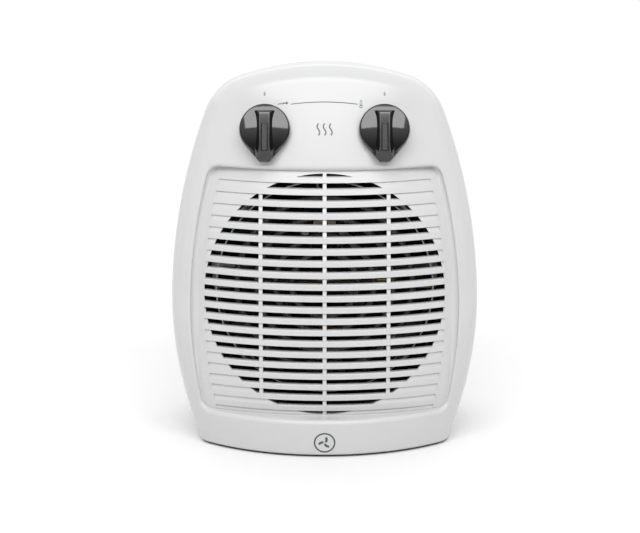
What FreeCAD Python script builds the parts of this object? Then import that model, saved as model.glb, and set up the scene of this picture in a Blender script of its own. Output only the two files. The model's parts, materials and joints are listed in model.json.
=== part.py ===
import FreeCAD, Part
import os
from math import acos, atan, cos, degrees, hypot, radians, sin, sqrt

V = FreeCAD.Vector
X = V(1, 0, 0)
Y = V(0, 1, 0)
Z = V(0, 0, 1)

# Overall body: front towards -Y, centre line x = 0, floor z = 0
HEIGHT = 275.0
HALF_WIDTH = 110.4
FRONT_Y = -77.5
BACK_Y = 75.0
SPLIT_Y = 8.0
SHELL_Z = 1.5
WALL = 2.4
FRONT_ROUND = 18.0
BACK_ROUND = 30.0
REAR_FALL = 0.16
BASE_ROUND = 2.0

# Outline seen from the front
WIDEST_Z = 108.0
LOWER_R = 300.0
UPPER_R = 375.0
ROOF_R = 190.0
SHOULDER_R = 43.0

# Front surface
BELLY_Z = 86.0
PANEL_Z = 204.0
PANEL_SETBACK = 31.5
PANEL_SLOPE = 0.38
PLAN_R = 206.0
BUMPER_PLAN_R = 134.0

# Barrel surface that the outlet grille follows
GRILLE_Y = -68.5
BARREL_R = 198.0
BARREL_ARC_R = 270.0

# Recess around the grille
RECESS_TOP = 204.0
RECESS_SILL = 28.0
RECESS_HALF = 96.0
RECESS_MID_Z = 105.0
RECESS_SIDE_R = 370.0
RECESS_CORNER = 9.5
COVE = 8.0
LIP_ROUND = 1.5

# Grille
SLAT_PITCH = 8.16
SLOT_H = 4.0
TOP_SLOT_Z = 201.3
SLOT_COUNT = 22
GRILLE_T = 4.4
GROOVE_D = 1.2
OUTLET_Z = 115.4
OUTLET_R = 86.2
BAR_W = 2.7
BAR_X = 45.5

# Knobs
KNOB_X = 42.5
KNOB_Z = 230.5
KNOB_LEAN = 21.0
KNOB_R = 18.3
KNOB_TAIL = 23.7
KNOB_TAIL_W = 7.7
KNOB_GAP = 4.3
SHAFT_R = 3.0

# Air path and heating coils
DUCT_R = 84.0
DUCT_T = 2.0
DUCT_FRONT = -36.0
DUCT_BACK = 20.0
EAR_Y = -29.0
EAR_R = 95.0
COIL_Y = -20.0
COIL_R = 2.4
COILS_LOW = (24.0, 36.0)
COILS_HIGH = (50.0, 64.0)

# Rear housing
HANDLE_Z = (198.0, 222.0, 52.0)
INLET_R = 76.0
FILTER_T = 1.2
HANDLE_HALF = 46.0
CORD_X = -60.0
CORD_Z = 42.0
CORD_R = 3.3
SCREW_HEAD_Y = SPLIT_Y + 12.0

# Terminal block and wires
BLOCK_Y = 33.0
BLOCK_X = (-66.0, -58.0, -50.0)
WIRE_R = 1.1


def save(name, shape):
    if not shape.isValid():
        print("INVALID", name)
    shape.exportStep("parts/%s.step" % name)
    print("%-22s %9.1f mm3  %d solid(s)" % (name, shape.Volume, len(shape.Solids)))


def box(x0, x1, y0, y1, z0, z1):
    return Part.makeBox(x1 - x0, y1 - y0, z1 - z0, V(x0, y0, z0))


def cyl_y(x, z, r, y0, y1):
    return Part.makeCylinder(r, y1 - y0, V(x, y0, z), Y)


def cyl_z(x, y, r, z0, z1):
    return Part.makeCylinder(r, z1 - z0, V(x, y, z0), Z)


def ring_y(x, z, outer, inner, y0, y1):
    return cyl_y(x, z, outer, y0, y1).cut(cyl_y(x, z, inner, y0 - 1, y1 + 1))


def fuse_all(shapes):
    out = shapes[0]
    for s in shapes[1:]:
        out = out.fuse(s)
    return out.removeSplitter()


# ---------------------------------------------------------------- body shape

def front_line(z):
    """y of the outer front surface on the centre line at height z."""
    if z < BELLY_Z:
        return FRONT_Y + 700.0 - sqrt(700.0 ** 2 - (z - BELLY_Z) ** 2)
    span = PANEL_Z - BELLY_Z
    if z > PANEL_Z:
        rise = z - PANEL_Z
        return FRONT_Y + PANEL_SETBACK + PANEL_SLOPE * rise + rise * rise / 4000.0
    t = (z - BELLY_Z) / span
    a = PANEL_SLOPE * span - 2.0 * PANEL_SETBACK
    b = 3.0 * PANEL_SETBACK - PANEL_SLOPE * span
    return FRONT_Y + a * t ** 3 + b * t * t


def plan_radius(z):
    """Plan curvature: tight at the bumper, flatter from the grille up."""
    t = min(1.0, max(0.0, z / 120.0))
    return BUMPER_PLAN_R + (PLAN_R - BUMPER_PLAN_R) * t * t * (3 - 2 * t)


def front_y(x, z):
    r = plan_radius(z)
    return front_line(z) + r - sqrt(r * r - x * x)


def front_block(inset):
    rows = []
    for i in range(16):
        z = -16.0 + 20.5 * i
        rows.append([V(x, front_y(x, z) + inset, z) for x in range(-120, 121, 20)])
    surface = Part.BSplineSurface()
    surface.interpolate(rows)
    return surface.toShape().extrude(V(0, 260, 0))


def circle_meet(c1, r1, c2, r2):
    d = hypot(c2[0] - c1[0], c2[1] - c1[1])
    a = (r1 * r1 - r2 * r2 + d * d) / (2 * d)
    h = sqrt(r1 * r1 - a * a)
    ux, uz = (c2[0] - c1[0]) / d, (c2[1] - c1[1]) / d
    p = (c1[0] + a * ux - h * uz, c1[1] + a * uz + h * ux)
    q = (c1[0] + a * ux + h * uz, c1[1] + a * uz - h * ux)
    return p if p[0] > 0 else q


def on_circle(c, r, p):
    d = hypot(p[0] - c[0], p[1] - c[1])
    return (c[0] + r * (p[0] - c[0]) / d, c[1] + r * (p[1] - c[1]) / d)


def outline(inset, y, foot_z):
    """Barrel outline of the body in the XZ plane down to foot_z, drawn at depth y."""
    lower, upper = LOWER_R - inset, UPPER_R - inset
    roof, shoulder = ROOF_R - inset, SHOULDER_R - inset
    c_low = (HALF_WIDTH - LOWER_R, WIDEST_Z)
    c_up = (HALF_WIDTH - UPPER_R, WIDEST_Z)
    c_roof = (0.0, HEIGHT - ROOF_R)
    c_sh = circle_meet(c_up, upper - shoulder, c_roof, roof - shoulder)
    foot = (c_low[0] + sqrt(lower ** 2 - (foot_z - WIDEST_Z) ** 2), foot_z)
    side = (HALF_WIDTH - inset, WIDEST_Z)
    sh_low = on_circle(c_up, upper, c_sh)
    sh_top = on_circle(c_roof, roof, c_sh)

    def bow(c, r, p, q):
        m = on_circle(c, r, ((p[0] + q[0]) / 2, (p[1] + q[1]) / 2))
        right = Part.Arc(V(p[0], y, p[1]), V(m[0], y, m[1]), V(q[0], y, q[1]))
        left = Part.Arc(V(-q[0], y, q[1]), V(-m[0], y, m[1]), V(-p[0], y, p[1]))
        return right.toShape(), left.toShape()

    r1, l1 = bow(c_low, lower, foot, side)
    r2, l2 = bow(c_up, upper, side, sh_low)
    r3, l3 = bow(c_sh, shoulder, sh_low, sh_top)
    top = Part.Arc(V(sh_top[0], y, sh_top[1]), V(0, y, HEIGHT - inset), V(-sh_top[0], y, sh_top[1]))
    base = Part.makeLine(V(-foot[0], y, foot_z), V(foot[0], y, foot_z))
    return Part.Wire([base, r1, r2, r3, top.toShape(), l3, l2, l1])


def rounded_rim(solid, face, radius):
    """Rounds the edges of that face, apart from the ones at its foot."""
    lowest = min(e.CenterOfMass.z for e in face.Edges)
    rim = [e for e in face.Edges if e.CenterOfMass.z > lowest + 1]
    return solid.makeFillet(radius, rim)


def front_solid(inset):
    """Body from the curved front surface straight back past the seam."""
    face = Part.Face(outline(inset, -120.0, SHELL_Z + inset))
    solid = face.extrude(V(0, SPLIT_Y + 150.0, 0)).common(front_block(inset * 1.06)).Solids[0]
    front = [f for f in solid.Faces if f.CenterOfMass.y < -20 and f.Area > 20000][0]
    return rounded_rim(solid, front, FRONT_ROUND - inset)


def rear_solid(inset):
    """Body from ahead of the seam to the back wall, its roof and sides falling towards the back."""
    lead = 12.0
    face = Part.Face(outline(inset, SPLIT_Y - lead, -40.0))
    face.translate(V(0, 0, lead * REAR_FALL))
    length = BACK_Y - inset - SPLIT_Y + lead
    solid = face.extrude(V(0, length, -length * REAR_FALL))
    back = [f for f in solid.Faces if f.CenterOfMass.y > BACK_Y - inset - 0.1][0]
    solid = rounded_rim(solid, back, BACK_ROUND - inset)
    return solid.common(box(-200, 200, -100, 100, SHELL_Z + inset, 400)).Solids[0]


def body_halves():
    """Outer shape ahead of the seam and behind it, each with its foot edge rounded."""
    halves = []
    for solid, y0, y1 in ((front_solid(0.0), -200, SPLIT_Y), (rear_solid(0.0), SPLIT_Y, 200)):
        base = [f for f in solid.Faces if f.CenterOfMass.z < SHELL_Z + 0.01][0]
        solid = solid.makeFillet(BASE_ROUND, base.Edges)
        halves.append(solid.common(box(-200, 200, y0, y1, -10, 400)).Solids[0])
    return halves


# ---------------------------------------------------------------- recess and grille surface

def barrel_rim(z, depth=0.0):
    """Distance of the grille surface from its upright axis at height z."""
    return BARREL_R - BARREL_ARC_R + sqrt((BARREL_ARC_R - depth) ** 2 - (z - BELLY_Z) ** 2)


def barrel(depth):
    """Solid behind the grille surface, pushed back by depth."""
    axis_y = GRILLE_Y + BARREL_R
    low, high = -30.0, 300.0
    p = [V(barrel_rim(z, depth), axis_y, z) for z in (low, BELLY_Z, high)]
    a, b = V(0, axis_y, low), V(0, axis_y, high)
    profile = [Part.makeLine(a, p[0]), Part.Arc(*p).toShape(), Part.makeLine(p[2], b), Part.makeLine(b, a)]
    return Part.Face(Part.Wire(profile)).revolve(V(0, axis_y, 0), Z, 360)


def recess_side(z, inset):
    r = RECESS_SIDE_R
    return RECESS_HALF - inset - r + sqrt(r * r - (z - RECESS_MID_Z) ** 2)


def recess_prism(inset, low, high, corner, y0=-130.0, y1=60.0):
    """Prism through the bowed window outline; corner rounds the four corners."""
    def side(s):
        pts = [V(s * recess_side(z, inset), y0, z) for z in (low, (low + high) / 2, high)]
        return pts if s > 0 else pts[::-1]
    right, left = side(1), side(-1)
    wire = Part.Wire([
        Part.Arc(*right).toShape(), Part.makeLine(right[2], left[0]),
        Part.Arc(*left).toShape(), Part.makeLine(left[2], right[0])])
    prism = Part.Face(wire).extrude(V(0, y1 - y0, 0))
    if corner:
        edges = [e for e in prism.Edges if abs(e.tangentAt(e.FirstParameter).y) > 0.99]
        prism = prism.makeFillet(corner, edges)
    return prism


def recess_tool(grow, depth):
    """Volume in front of the grille surface, coved down both sides."""
    tool = recess_prism(-grow, -10.0, 225.0, 0).cut(barrel(depth)).Solids[0]
    floor = [f for f in tool.Faces if f.CenterOfMass.y > GRILLE_Y and f.Area > 15000
             and abs(f.normalAt(*[sum(f.ParameterRange[i:i + 2]) / 2 for i in (0, 2)]).y) > 0.8]
    floor = max(floor, key=lambda f: f.CenterOfMass.y)
    sides = [e for e in floor.Edges if abs(e.CenterOfMass.x) > 30]
    tool = tool.makeFillet(COVE + grow, sides)
    trim = recess_prism(-grow - 20, RECESS_SILL - grow, RECESS_TOP + grow, 0)
    window = recess_prism(-grow, RECESS_SILL - grow, RECESS_TOP + grow, RECESS_CORNER + grow)
    return tool.common(trim).common(window)


def groove(low, high, half):
    """Wedge cut across the grille: flush at its lower edge and deepest under the slat above it."""
    axis_y = GRILLE_Y + BARREL_R
    near, far = barrel_rim(low), barrel_rim(high)
    points = [(near + 5, low), (near, low), (far - GROOVE_D, high), (far + 5, high), (near + 5, low)]
    profile = Part.Face(Part.makePolygon([V(0, axis_y - r, z) for r, z in points]))
    ring = profile.revolve(V(0, axis_y, 0), Z, 360)
    return ring.common(box(-half, half, -90, 0, low - 1, high + 1))


def outlet_grille(blank):
    """Insert that fills the recess floor: grooves across it, open inside the outlet circle."""
    plate = recess_prism(COVE + 0.35, RECESS_SILL + 0.75, RECESS_TOP - 1.15, 6.0)
    plate = plate.common(barrel(0)).cut(barrel(GRILLE_T))
    flange = recess_prism(COVE - 2.5, RECESS_SILL - 1.5, RECESS_TOP + 1.5, 7.0)
    flange = flange.common(barrel(WALL + 0.05)).cut(barrel(GRILLE_T)).cut(blank)
    plate = plate.fuse(flange)
    bars = [box(x - BAR_W / 2, x + BAR_W / 2, -100, 40, 0, 260) for x in (-BAR_X, 0, BAR_X)]
    outlet = cyl_y(0, OUTLET_Z, OUTLET_R, -100, 40)
    grooves, gaps = [], []
    for i in range(SLOT_COUNT):
        z = TOP_SLOT_Z - SLAT_PITCH * i
        half = recess_side(z, COVE + 1.6)
        gaps.append(box(-half, half, -90, 20, z - SLOT_H / 2, z + SLOT_H / 2).cut(bars).common(outlet))
        if i:
            grooves.append(groove(max(z - SLOT_H / 2, RECESS_SILL + 1.3), z + SLOT_H / 2, half))
    plate = plate.cut(gaps).cut(grooves)
    posts = [cyl_y(x, z, 4.5, -80, EAR_Y).common(barrel(WALL)) for x, z in duct_posts()]
    pilots = [cyl_y(x, z, 1.45, EAR_Y - 4.5, EAR_Y + 1) for x, z in duct_posts()]
    return plate.fuse(posts).cut(pilots)


def duct_posts():
    r = EAR_R
    return [(s * r * cos(radians(a)), OUTLET_Z + r * sin(radians(a))) for a in (-38, 38) for s in (-1, 1)]


# ---------------------------------------------------------------- housing

def housing_posts():
    return [(s * x, z) for x, z in ((92.0, 46.0), (80.0, 214.0)) for s in (-1, 1)]


def tilted(shape, x):
    """Move a shape drawn about the origin, +Z outward, onto the leaning panel at x."""
    out = shape.copy()
    turn = FreeCAD.Rotation(X, 90.0 - KNOB_LEAN)
    seat = FreeCAD.Placement(V(x, front_y(KNOB_X, KNOB_Z), KNOB_Z), turn)
    out.Placement = seat.multiply(out.Placement)
    return out


def panel_posts():
    return [(x, y) for x in (-18.0, 18.0) for y in (-10.0, 10.0)]


def front_cover(outer, inner, tool, blank):
    shell = outer.cut(inner)
    seats = [tilted(cyl_z(0, 0, 17.0, -8.0, KNOB_GAP - 0.6), s * KNOB_X) for s in (-1, 1)]
    seats += [tilted(cyl_z(x, y, 3.6, -10.8, 2.5), 0) for x, y in panel_posts()]
    posts = [cyl_y(x, z, 5.0, -90, SPLIT_Y).common(outer) for x, z in housing_posts()]
    posts += [cyl_z(x, y, 10.0, SHELL_Z + 1, SHELL_Z + WALL + 1.8) for x, y in foot_places(-1)]
    cover = shell.fuse([outer.common(blank)] + posts + seats)
    cover = cover.cut(tool)
    lip = [e for e in cover.Edges if e.Length > 100 and abs(e.CenterOfMass.z - RECESS_SILL) < 0.6
           and e.CenterOfMass.y < GRILLE_Y + 5]
    cover = cover.makeFillet(LIP_ROUND, lip)
    window = recess_prism(COVE + 0.2, RECESS_SILL + 0.6, RECESS_TOP - 1.0, 6.0)
    holes = [window]
    for s in (-1, 1):
        holes.append(tilted(cyl_z(0, 0, 12.0, -9.0, 1.2), s * KNOB_X))
        holes.append(tilted(cyl_z(0, 0, 5.2, -1.0, 8.0), s * KNOB_X))
    for x, y in panel_posts():
        holes.append(tilted(cyl_z(x, y, 1.35, -11.0, -4.0), 0))
    for x, z in housing_posts():
        holes.append(cyl_y(x, z, 1.65, SPLIT_Y - 15, SPLIT_Y + 1))
    for x, y in foot_places(-1):
        holes.append(cyl_z(x, y, 7.0, -1, SHELL_Z + 2.0))
    return cover.cut(holes)


def rear_housing(outer, inner):
    shell = outer.cut(inner)
    lip_root = rear_solid(WALL - 0.3).cut(rear_solid(WALL + 1.4))
    lip_root = lip_root.common(box(-200, 200, SPLIT_Y, SPLIT_Y + 5, -10, 400))
    lip = front_solid(WALL + 0.15).cut(front_solid(WALL + 1.4))
    lip = lip.common(box(-200, 200, SPLIT_Y - 3, SPLIT_Y + 1, -10, 400))
    posts = [cyl_y(x, z, 5.5, SPLIT_Y, 90).common(outer) for x, z in housing_posts()]
    posts += [cyl_z(x, y, 10.0, SHELL_Z + 1, SHELL_Z + WALL + 1.8) for x, y in foot_places(1)]
    low, high, deep = HANDLE_Z
    cup = box(-HANDLE_HALF - WALL, HANDLE_HALF + WALL, deep - WALL, 90, low - WALL, high + WALL)
    body = shell.fuse([lip_root, lip, cup.common(outer)] + posts)
    pocket = box(-HANDLE_HALF, HANDLE_HALF, deep, 100, low, high)
    edges = [e for e in pocket.Edges if abs(e.tangentAt(e.FirstParameter).y) > 0.99]
    holes = [pocket.makeFillet(9.0, edges)]
    inlet = cyl_y(0, OUTLET_Z, INLET_R, 60, 100)
    bars = [box(x - 1.6, x + 1.6, 50, 110, 0, 260) for x in (-50, -25, 0, 25, 50)]
    for i in range(-8, 9):
        z = OUTLET_Z + 9.0 * i
        slot = box(-90, 90, 70, 90, z - 2.2, z + 2.2)
        holes.append(slot.common(inlet).cut(bars))
    for x, z in housing_posts():
        holes.append(cyl_y(x, z, 1.9, SPLIT_Y - 4, SPLIT_Y + 20))
        holes.append(cyl_y(x, z, 3.9, SPLIT_Y + 12, 100))
    for x, y in foot_places(1):
        holes.append(cyl_z(x, y, 7.0, -1, SHELL_Z + 2.0))
    holes.append(cyl_y(CORD_X, CORD_Z, 6.55, 60, 100))
    return body.cut(holes)


def inlet_filter():
    """Dust screen behind the inlet slots: a rim, three ribs and the mesh drawn as a thin disc."""
    back = BACK_Y - WALL
    rim = ring_y(0, OUTLET_Z, INLET_R + 4, INLET_R + 1.5, back - 4, back)
    mesh = cyl_y(0, OUTLET_Z, INLET_R + 2, back - FILTER_T, back)
    ribs = []
    for a in (0, 60, 120):
        rib = box(-INLET_R - 2, INLET_R + 2, back - 2.6, back, -1, 1)
        rib.rotate(V(0, 0, 0), Y, a)
        rib.translate(V(0, 0, OUTLET_Z))
        ribs.append(rib)
    return rim.fuse([mesh] + ribs).removeSplitter()


def foot_places(side):
    return [(-60.0, -44.0), (60.0, -44.0)] if side < 0 else [(-66.0, 56.0), (66.0, 56.0)]


def foot(x, y):
    pad = cyl_z(x, y, 7.0, 0.0, SHELL_Z + 2.0)
    return pad.makeFillet(0.6, [e for e in pad.Edges if e.CenterOfMass.z < 0.1])


def cord_grommet():
    sleeve = cyl_y(CORD_X, CORD_Z, 6.5, BACK_Y - WALL, BACK_Y)
    collar = cyl_y(CORD_X, CORD_Z, 9.0, BACK_Y - 11.5, BACK_Y - WALL)
    return sleeve.fuse(collar).cut(cyl_y(CORD_X, CORD_Z, CORD_R, 60, 90)).removeSplitter()


# ---------------------------------------------------------------- fasteners

def screw(head_r, head_t, shank_r, length):
    """Pan-head screw along +Z: head from 0 to head_t, shank below 0, cross recess on top."""
    head = Part.makeCylinder(head_r, head_t)
    head = head.makeFillet(head_t * 0.4, [e for e in head.Edges if e.CenterOfMass.z > head_t - 0.01])
    tip = Part.makeCone(shank_r * 0.4, shank_r, 1.5, V(0, 0, -length))
    body = head.fuse([Part.makeCylinder(shank_r, length - 1.5, V(0, 0, 1.5 - length)), tip])
    w = head_r * 0.2
    cross = box(-w, w, -head_r * 0.62, head_r * 0.62, head_t * 0.45, head_t + 1)
    cross = cross.fuse(box(-head_r * 0.62, head_r * 0.62, -w, w, head_t * 0.45, head_t + 1))
    return body.cut(cross).removeSplitter()


def along_y(shape, x, y, z):
    """Stand a shape drawn along +Z on the +Y direction at a point."""
    out = shape.copy()
    stand = FreeCAD.Placement(V(x, y, z), FreeCAD.Rotation(X, -90))
    out.Placement = stand.multiply(out.Placement)
    return out


def hex_nut(flats, thick, bore):
    r = flats / sqrt(3.0)
    pts = [V(r * cos(radians(60 * i)), r * sin(radians(60 * i)), 0) for i in range(7)]
    return Part.Face(Part.makePolygon(pts)).extrude(V(0, 0, thick)).cut(cyl_z(0, 0, bore, -1, thick + 1))


# ---------------------------------------------------------------- knobs and controls

def teardrop(r, tail, tail_w):
    """Round knob outline with a pointer tail towards -Y."""
    h = tail_w / 2
    d = hypot(h, tail)
    spread = degrees(acos(r / d))
    base = degrees(atan(h / tail))
    a = radians(-90 + base + spread)
    p = V(r * cos(a), r * sin(a), 0)
    arc = Part.Arc(p, V(0, r, 0), V(-p.x, p.y, 0)).toShape()
    return Part.Wire([arc, Part.makeLine(V(-p.x, p.y, 0), V(-h, -tail, 0)),
                      Part.makeLine(V(-h, -tail, 0), V(h, -tail, 0)), Part.makeLine(V(h, -tail, 0), p)])


def knob():
    """Teardrop skirt with a waisted grip ridge running down to the pointer tail."""
    base = KNOB_GAP
    skirt = Part.Face(teardrop(KNOB_R, KNOB_TAIL, KNOB_TAIL_W)).extrude(V(0, 0, 5.0))
    skirt = skirt.makeFillet(1.2, [e for e in skirt.Edges if e.CenterOfMass.z > 4.99])
    top, foot_h, z0, z1 = 3.8, 9.3, 4.4, 11.5
    half = [V(top, 0, z1), V(4.9, 0, 7.2), V(foot_h, 0, z0)]
    curve = Part.BSplineCurve()
    curve.interpolate(half)
    other = Part.BSplineCurve()
    other.interpolate([V(-p.x, 0, p.z) for p in half[::-1]])
    wire = Part.Wire([curve.toShape(), Part.makeLine(half[2], V(foot_h, 0, 0)),
                      Part.makeLine(V(foot_h, 0, 0), V(-foot_h, 0, 0)),
                      Part.makeLine(V(-foot_h, 0, 0), V(-foot_h, 0, z0)),
                      other.toShape(), Part.makeLine(V(-top, 0, z1), half[0])])
    ridge = Part.Face(wire).extrude(V(0, 12.5 + KNOB_TAIL, 0))
    ridge.translate(V(0, -KNOB_TAIL, 0))
    ridge = ridge.common(Part.Face(teardrop(KNOB_R, KNOB_TAIL, KNOB_TAIL_W)).extrude(V(0, 0, 20)))
    nose = Part.Face(Part.makePolygon([V(-20, -17.6, 12), V(-20, -30, 12), V(-20, -30, 0.5),
                                       V(-20, -KNOB_TAIL, 3.2), V(-20, -17.6, 12)])).extrude(V(40, 0, 0))
    body = skirt.fuse(ridge).cut(nose).removeSplitter()
    hollow = cyl_z(0, 0, KNOB_R - 2.2, -1, 2.8).cut(cyl_z(0, 0, 5.6, -2, 4))
    flat = box(-5, 5, 2.22, 6, -2, 20)
    bore = cyl_z(0, 0, SHAFT_R + 0.02, -1, 8.5).cut(flat)
    slot = box(-1.7, 1.7, -17.6, 2.0, 10.5, 13)
    body = body.cut([hollow, bore, slot])
    body.translate(V(0, 0, base))
    return body


def knob_index():
    strip = box(-1.7, 1.7, -17.0, 2.0, 10.5, 11.3)
    strip = strip.cut(box(-0.6, 0.6, -16.0, 1.0, 11.0, 12))
    strip.translate(V(0, 0, KNOB_GAP))
    return strip


def control_shaft():
    shaft = cyl_z(0, 0, SHAFT_R, -26.0, KNOB_GAP + 8.3)
    return shaft.cut(box(-5, 5, 2.2, 6, KNOB_GAP - 2, 30))


def with_bushing(body):
    bush = cyl_z(0, 0, 4.5, -12.5, -6.0)
    return body.fuse(bush).cut(cyl_z(0, 0, SHAFT_R + 0.05, -27, 0)).removeSplitter()


def switch_body():
    case = box(-15, 15, -14, 14, -29, -12)
    case = case.makeFillet(2.0, [e for e in case.Edges if abs(e.tangentAt(e.FirstParameter).z) > 0.99])
    return with_bushing(case)


def thermostat_body():
    base = box(-11, 11, -15, 15, -28, -22)
    stack = cyl_z(0, 0, 8.0, -23, -12)
    flange = box(-13, 13, -9, 9, -13.2, -12)
    return with_bushing(base.fuse([stack, flange]))


def bimetal():
    blade = box(-4, 4, -15, 21, -22, -21.2).cut(cyl_z(0, 0, 8.4, -30, -10))
    rivet = cyl_z(0, -13, 1.6, -21.2, -19.8)
    return blade.fuse(rivet)


def tabs(places, back, length):
    return Part.makeCompound([box(x - 3.1, x + 3.1, y - 0.4, y + 0.4, back - length, back) for x, y in places])


def control_bracket():
    plate = box(-62, 62, -14, 14, -12.0, -10.8)
    lips = [box(-62, 62, 12.8, 14, -18.0, -12.0)]
    plate = plate.fuse(lips)
    cuts = [cyl_z(s * KNOB_X, 0, 4.65, -20, 0) for s in (-1, 1)]
    cuts += [cyl_z(x, y, 1.6, -20, 0) for x, y in panel_posts()]
    cuts += [box(s * KNOB_X - 16, s * KNOB_X + 16, 10, 20, -30, -12.0) for s in (-1, 1)]
    return plate.cut(cuts).removeSplitter()


# ---------------------------------------------------------------- air path

def air_duct():
    tube = ring_y(0, OUTLET_Z, DUCT_R + DUCT_T, DUCT_R, DUCT_FRONT, DUCT_BACK)
    front_rim = ring_y(0, OUTLET_Z, 92.0, DUCT_R + 1, EAR_Y, EAR_Y + 2.4)
    back_rim = ring_y(0, OUTLET_Z, 92.0, DUCT_R + 1, DUCT_BACK - 2.4, DUCT_BACK)
    ears = [cyl_y(x, z, 6.0, EAR_Y, EAR_Y + 2.4) for x, z in duct_posts()]
    bosses = [cyl_y(s * 89.0, OUTLET_Z, 3.6, DUCT_BACK - 9, DUCT_BACK) for s in (-1, 1)]
    bosses = [b.cut(cyl_y(0, OUTLET_Z, DUCT_R + 1, -50, 50)) for b in bosses]
    holes = [cyl_y(x, z, 1.7, EAR_Y - 1, EAR_Y + 5) for x, z in duct_posts()]
    holes.append(cyl_z(-5, -6.5, 2.0, OUTLET_Z + 60, OUTLET_Z + 90))
    holes += [cyl_y(s * 89.0, OUTLET_Z, 1.35, DUCT_BACK - 8, DUCT_BACK + 1) for s in (-1, 1)]
    return tube.fuse([front_rim, back_rim] + ears + bosses).cut(holes).removeSplitter()


def heater_frame():
    ring = ring_y(0, OUTLET_Z, 79.0, 78.0, -30, -10)
    lugs = []
    for a in (45, 135, 225, 315):
        lug = box(77.5, DUCT_R, -14, -12.8, -5, 5)
        lug.rotate(V(0, 0, 0), Y, a)
        lug.translate(V(0, 0, OUTLET_Z))
        lugs.append(lug)
    ring = ring.fuse(lugs).common(cyl_y(0, OUTLET_Z, DUCT_R - 0.02, -40, 0))
    return ring.removeSplitter()


def coil(radii):
    rings = [Part.makeTorus(r, COIL_R, V(0, COIL_Y, OUTLET_Z), Y) for r in radii]
    return Part.makeCompound(rings)


def mica_board(upright):
    t = 0.5
    w = 77.9
    if upright:
        board = box(-t, t, -29, -11, OUTLET_Z - w, OUTLET_Z + w)
        board = board.cut(box(-t, t, -30, -20, OUTLET_Z - t, OUTLET_Z + t))
    else:
        board = box(-w, w, -29, -11, OUTLET_Z - t, OUTLET_Z + t)
        board = board.cut(box(-t, t, -20, -10, OUTLET_Z - t, OUTLET_Z + t))
    for r in COILS_LOW + COILS_HIGH:
        for s in (-1, 1):
            x, z = (0, OUTLET_Z + s * r) if upright else (s * r, OUTLET_Z)
            if upright:
                board = board.cut(Part.makeCylinder(COIL_R + 0.01, 8, V(-4, COIL_Y, z), X))
            else:
                board = board.cut(Part.makeCylinder(COIL_R + 0.01, 8, V(x, COIL_Y, z - 4), Z))
    return board


def fan():
    """Seven-bladed axial impeller, bored for the motor shaft."""
    hub = cyl_y(0, OUTLET_Z, 12.0, 0, 14)
    blades = []
    for i in range(7):
        wires = []
        for r, chord, pitch in ((10.0, 17.0, 48.0), (45.0, 32.0, 33.0), (80.5, 42.0, 22.0)):
            c, s = cos(radians(pitch)), sin(radians(pitch))
            pts = []
            for u, v in ((-0.5, -0.8), (0.5, -0.8), (0.5, 0.8), (-0.5, 0.8), (-0.5, -0.8)):
                a, b = u * chord, v
                pts.append(V(a * c - b * s, 7.0 + a * s + b * c, r))
            wires.append(Part.makePolygon(pts))
        blade = Part.makeLoft(wires, True, False)
        blade.rotate(V(0, 0, 0), Y, 360.0 / 7 * i)
        blade.translate(V(0, 0, OUTLET_Z))
        blades.append(blade)
    body = hub.fuse(blades).common(cyl_y(0, OUTLET_Z, 79.0, -10, 30))
    return body.cut(cyl_y(0, OUTLET_Z, 2.51, -10, 30))


# ---------------------------------------------------------------- motor

def mz(z):
    return OUTLET_Z + z


def motor_bridge():
    bar = box(-92, 92, 20, 21.5, mz(-9), mz(9))
    disc = cyl_y(0, OUTLET_Z, 34, 20, 21.5)
    holes = [cyl_y(0, OUTLET_Z, 8.2, 10, 30)]
    holes += [cyl_y(s * 25, OUTLET_Z, 1.7, 10, 30) for s in (-1, 1)]
    holes += [cyl_y(s * 89, OUTLET_Z, 1.6, 10, 30) for s in (-1, 1)]
    return bar.fuse(disc).removeSplitter().cut(holes)


def motor_stator():
    block = box(-30, 30, 30, 48, mz(-42), mz(20))
    block = block.makeFillet(3.0, [e for e in block.Edges if abs(e.tangentAt(e.FirstParameter).y) > 0.99])
    cuts = [cyl_y(0, OUTLET_Z, 12.4, 20, 60), box(-19, 19, 20, 60, mz(-31), mz(-16))]
    cuts += [cyl_y(s * 25, OUTLET_Z, 1.7, 20, 60) for s in (-1, 1)]
    return block.cut(cuts)


def motor_bobbin():
    core = box(-17, 17, 28.8, 49.2, mz(-43.2), mz(-29.8))
    ends = [box(x, x + 1.5, 24.5, 53.5, mz(-48), mz(-17)) for x in (-17, 15.5)]
    limb = box(-40, 40, 29.9, 48.1, mz(-42.1), mz(-30.9))
    return core.fuse(ends).cut(limb).removeSplitter()


def motor_coil():
    wound = box(-15.5, 15.5, 25.5, 52.5, mz(-47), mz(-18))
    wound = wound.makeFillet(2.5, [e for e in wound.Edges if abs(e.tangentAt(e.FirstParameter).x) > 0.99])
    return wound.cut(box(-40, 40, 28.8, 49.2, mz(-43.2), mz(-29.8)))


def motor_bracket(y_bar, y_feet, y_boss):
    """Cast cross bar with two feet on the stator and a bearing boss."""
    parts = [box(-29, 29, y_bar, y_bar + 3, mz(-6), mz(6))]
    parts += [box(x, x + 7, min(y_feet), max(y_feet), mz(-6), mz(6)) for x in (-29, 22)]
    parts.append(cyl_y(0, OUTLET_Z, 7.5, min(y_boss), max(y_boss)))
    holes = [cyl_y(s * 25, OUTLET_Z, 1.7, 0, 80) for s in (-1, 1)]
    holes.append(cyl_y(0, OUTLET_Z, 5.0, 0, 80))
    return fuse_all(parts).cut(holes)


def bearing(y0, y1):
    return ring_y(0, OUTLET_Z, 5.0, 2.53, y0, y1)


def motor_rotor():
    core = ring_y(0, OUTLET_Z, 12.0, 2.5, 30, 48)
    rings = [ring_y(0, OUTLET_Z, 11.0, 6.0, a, b) for a, b in ((28.5, 30), (48, 49.5))]
    return fuse_all([core] + rings)


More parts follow.
